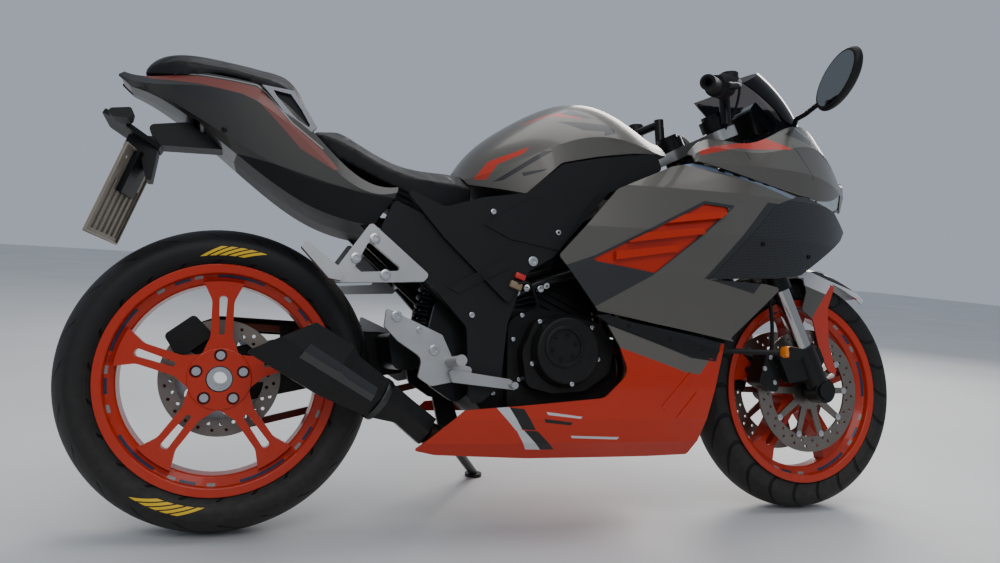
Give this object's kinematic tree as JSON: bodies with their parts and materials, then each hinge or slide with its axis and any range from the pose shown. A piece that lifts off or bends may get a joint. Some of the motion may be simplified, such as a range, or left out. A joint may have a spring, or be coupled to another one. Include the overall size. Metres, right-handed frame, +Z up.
{
  "type": "sport motorcycle",
  "caption": "Faired sport motorcycle leaning on its side stand, with split-spoke cast wheels, clip-on bars, louvred side fairings, belly pan, short silencer and a raised tail.",
  "frame": {"origin": "middle of the whole outline in plan, on the floor under the tyres", "axes": "+X forward along the wheelbase, +Y to the rider's left, +Z up; the bike leans to +Y on its stand"},
  "size_m": [1.9918, 0.7962, 1.0962],
  "materials": {
    "graphite_paint": "metallic gloss",
    "graphite_panel": "metallic gloss",
    "orange_panel": "gloss",
    "orange_rim": "satin",
    "dark_panel": "satin weave",
    "black_plastic": "matte",
    "black_metal": "satin",
    "cast_black": "rough",
    "cast_silver": "as cast",
    "chrome_tube": "polished",
    "steel": "brushed",
    "disc_steel": "ground",
    "chain_steel": "coated",
    "tyre": "matte",
    "grip_rubber": "matte",
    "seat_cover": "grained",
    "smoke_screen": "smoked",
    "lamp_lens": "clear",
    "red_lens": "gloss",
    "amber_lens": "gloss",
    "plate_blank": "matte",
    "display": "gloss"
  },
  "bodies": {
    "chassis": {"frame": "black_metal", "swingarm": "black_metal", "rear_shock": "black_metal", "chain": "chain_steel", "chain_guard": "black_plastic", "drive_sprocket": "steel", "crankcase": "cast_black", "cylinder_head": "cast_black", "clutch_cover": "cast_black", "stator_cover": "cast_black", "header_pipes": "steel", "silencer": "black_metal", "radiator": "black_metal", "fuel_tank": "graphite_paint", "rider_seat": "seat_cover", "passenger_seat": "seat_cover", "tail_panels": "graphite_panel", "tail_undertray": "black_plastic", "tail_lamp": "red_lens", "plate_hanger": "black_plastic", "number_plate": "plate_blank", "indicators": "amber_lens", "frame_covers": "black_plastic", "side_fairings": "graphite_panel", "wing_panels": "dark_panel", "louvres": "orange_panel", "belly_pan": "orange_panel", "fairing_brackets": "black_metal", "upper_cowl": "graphite_panel", "headlamps": "lamp_lens", "windscreen": "smoke_screen", "mirrors": "black_plastic", "fairing_stay": "black_metal", "instrument": "display", "footrests": "cast_silver", "passenger_hangers": "cast_silver", "rear_caliper": "black_metal"},
    "steering": {"lower_clamp": "black_metal", "top_clamp": "cast_silver", "fork_outer_tubes": "black_metal", "fork_stanchions": "chrome_tube", "fork_feet": "black_metal", "front_axle": "steel", "front_calipers": "black_metal", "front_mudguard": "graphite_panel", "clip_on_bars": "black_metal", "grips": "grip_rubber", "bar_controls": "black_plastic"},
    "front_wheel": {"front_rim": "orange_rim", "front_tyre": "tyre", "front_discs": "disc_steel"},
    "rear_wheel": {"rear_rim": "orange_rim", "rear_tyre": "tyre", "rear_disc": "disc_steel", "rear_sprocket": "steel", "rear_hub_axle": "steel", "rear_wheel_nuts": "steel"},
    "side_stand": {"side_stand": "black_metal"}
  },
  "joints": [
    {"name": "steering_turn", "type": "hinge", "parent": "chassis", "child": "steering", "pos_m": [0.67188, -0.11621, 0.27541], "axis": [-0.4142, 0.1423, 0.899], "range_deg": [-33, 27]},
    {"name": "front_wheel_spin", "type": "hinge", "parent": "steering", "child": "front_wheel", "pos_m": [0.70369, -0.11213, 0.28942], "axis": [-0.0477, 0.9829, -0.1776], "continuous": true},
    {"name": "rear_wheel_spin", "type": "hinge", "parent": "chassis", "child": "rear_wheel", "pos_m": [-0.69126, -0.1119, 0.30338], "axis": [-0.0001, 0.9877, -0.1564], "continuous": true},
    {"name": "stand_fold", "type": "hinge", "parent": "chassis", "child": "side_stand", "pos_m": [-0.18135, -0.01149, 0.14442], "axis": [0.0635, 0.5927, 0.8029], "range_deg": [0, 117.3]}
  ]
}
